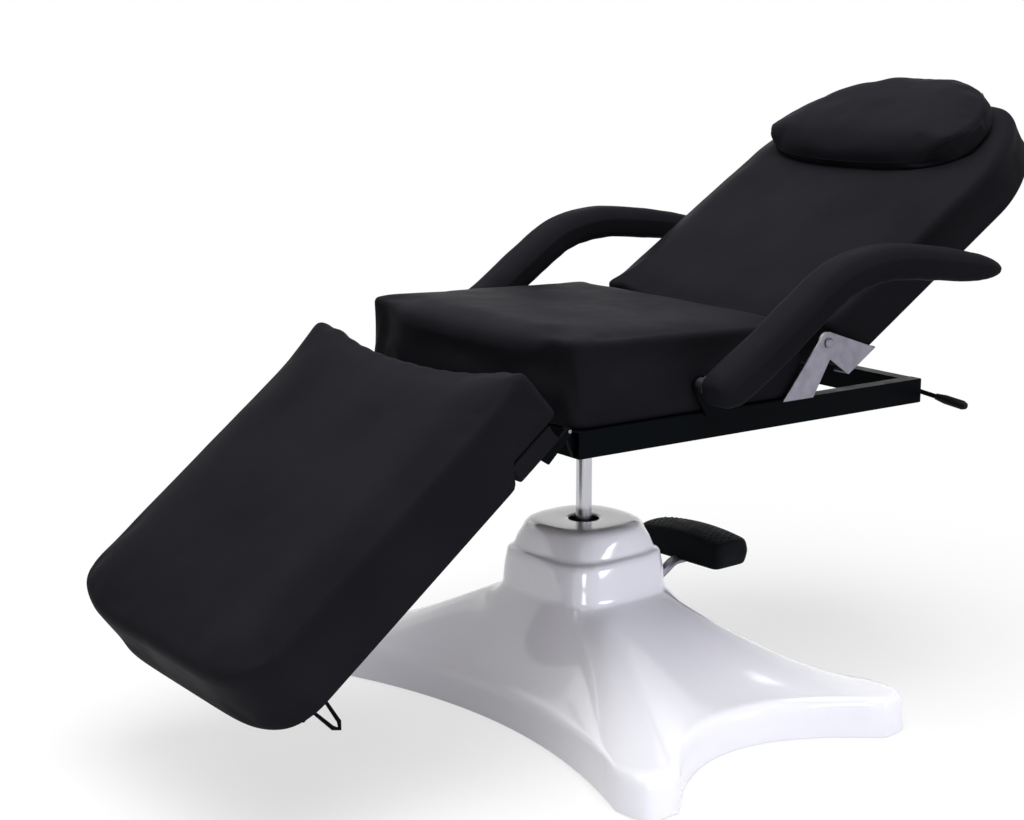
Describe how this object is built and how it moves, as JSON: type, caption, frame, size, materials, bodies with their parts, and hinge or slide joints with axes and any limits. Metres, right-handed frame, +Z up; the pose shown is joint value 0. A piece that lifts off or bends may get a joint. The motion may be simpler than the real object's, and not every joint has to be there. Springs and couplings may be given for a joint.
{
  "type": "massage table",
  "caption": "Padded massage table with folding leg rest, reclining back, swing-up armrests and head pillow on a lifting, swivelling pump pedestal with a white splayed base.",
  "frame": {"origin": "on the floor under the axis of the lifting ram", "axes": "+Z up, +Y to the head end, -Y to the foot end, +X to the side with the release lever"},
  "size_m": [0.9812, 1.66, 1.0369],
  "materials": {
    "black_vinyl": "soft satin imitation leather",
    "black_paint": "semi-gloss powder coat",
    "zinc_plate": "zinc plated",
    "chrome": "polished",
    "plywood": "raw plywood",
    "black_plastic": "moulded, fine grain",
    "bare_steel": "machined",
    "black_rubber": "moulded, dimpled",
    "white_plastic": "high gloss",
    "bronze": "machined"
  },
  "bodies": {
    "pedestal": {"base_cover": "white_plastic", "base_plate": "black_paint", "pump_reservoir": "black_paint", "ram_cylinder": "bare_steel", "gland_nut": "zinc_plate", "pump_block": "bare_steel", "pedal_clevis": "bare_steel", "pedal_pin": "zinc_plate"},
    "pump_pedal": {"pedal_arm": "zinc_plate", "pedal_pad": "black_rubber"},
    "pump_plunger": {"pump_plunger": "chrome"},
    "ram": {"lift_ram": "chrome", "thrust_washer": "bronze"},
    "seat_frame": {"swivel_hub": "black_paint", "swivel_plate": "black_paint", "side_rail_left": "black_paint", "side_rail_right": "black_paint", "rail_cap_left": "black_plastic", "rail_cap_right": "black_plastic", "cross_rail_front": "black_paint", "cross_rail_middle_front": "black_paint", "cross_rail_middle_rear": "black_paint", "cross_rail_head": "black_paint", "seat_board": "plywood", "seat_cushion": "black_vinyl", "back_bracket_left": "zinc_plate", "back_bracket_right": "zinc_plate", "back_rivet_left": "zinc_plate", "back_rivet_right": "zinc_plate", "arm_bracket_left": "black_paint", "arm_bracket_right": "black_paint", "arm_spacer_left": "zinc_plate", "arm_spacer_right": "zinc_plate", "lever_bolt": "zinc_plate", "leg_ear_left": "black_paint", "leg_ear_right": "black_paint", "leg_pin_left": "zinc_plate", "leg_pin_right": "zinc_plate", "strut_tube": "black_paint", "strut_clamp_front": "black_paint", "strut_clamp_rear": "black_paint"},
    "backrest": {"back_cushion": "black_vinyl", "back_board": "plywood", "head_pillow": "black_vinyl", "back_plate_left": "zinc_plate", "back_plate_right": "zinc_plate", "back_crank": "zinc_plate"},
    "strut_rod": {"strut_rod": "chrome"},
    "leg_rest": {"leg_cushion": "black_vinyl", "leg_hinge_batten": "black_vinyl", "leg_board": "plywood", "leg_strap_left": "black_paint", "leg_strap_right": "black_paint", "loop_clip_foot": "black_paint", "loop_clip_seat": "black_paint"},
    "pull_loop": {"pull_loop": "black_paint"},
    "armrest_left": {"armrest_left": "black_vinyl"},
    "armrest_right": {"armrest_right": "black_vinyl"},
    "release_lever": {"lever_rod": "black_paint", "lever_grip": "black_plastic"}
  },
  "joints": [
    {"name": "lift", "type": "slide", "parent": "pedestal", "child": "ram", "axis": [0, 0, 1], "range_m": [-0.135, 0.02]},
    {"name": "swivel", "type": "hinge", "parent": "ram", "child": "seat_frame", "pos_m": [0, 0, 0.5], "axis": [0, 0, 1], "continuous": true},
    {"name": "back_recline", "type": "hinge", "parent": "seat_frame", "child": "backrest", "pos_m": [0, 0.262, 0.628], "axis": [1, 0, 0], "range_deg": [-32.5, 27.5]},
    {"name": "strut_slide", "type": "slide", "parent": "seat_frame", "child": "strut_rod", "axis": [0, 1, 0], "range_m": [-0.0875, 0.0742]},
    {"name": "leg_fold", "type": "hinge", "parent": "seat_frame", "child": "leg_rest", "pos_m": [0, -0.2545, 0.5462], "axis": [-1, 0, 0], "range_deg": [-10, 38.6]},
    {"name": "loop_swing", "type": "hinge", "parent": "leg_rest", "child": "pull_loop", "pos_m": [0.258, -0.67571, 0.20829], "axis": [0, 0.7815, 0.6239], "range_deg": [-80, 80]},
    {"name": "arm_raise_left", "type": "hinge", "parent": "seat_frame", "child": "armrest_left", "pos_m": [0.365, -0.012, 0.591], "axis": [1, 0, 0], "range_deg": [0, 90]},
    {"name": "arm_raise_right", "type": "hinge", "parent": "seat_frame", "child": "armrest_right", "pos_m": [-0.365, -0.012, 0.591], "axis": [1, 0, 0], "range_deg": [0, 90]},
    {"name": "pedal_press", "type": "hinge", "parent": "pedestal", "child": "pump_pedal", "pos_m": [-0.00726, 0.10375, 0.136], "axis": [0.9976, 0.0698, 0], "range_deg": [-18, 0], "stiffness_Nm_per_rad": 14, "springref_deg": 14.32},
    {"name": "plunger_stroke", "type": "slide", "parent": "pedestal", "child": "pump_plunger", "axis": [0, 0, 1], "range_m": [-0.0056, 0]},
    {"name": "lever_lift", "type": "hinge", "parent": "seat_frame", "child": "release_lever", "pos_m": [0.215, 0.502, 0.524], "axis": [0, -1, 0], "range_deg": [0, 12], "stiffness_Nm_per_rad": 0.8, "springref_deg": -5.73}
  ],
  "couplings": [
    {"joint": "strut_slide", "follows": "back_recline", "m_per_rad": 0.1535},
    {"joint": "plunger_stroke", "follows": "pedal_press", "m_per_rad": 0.0165}
  ]
}
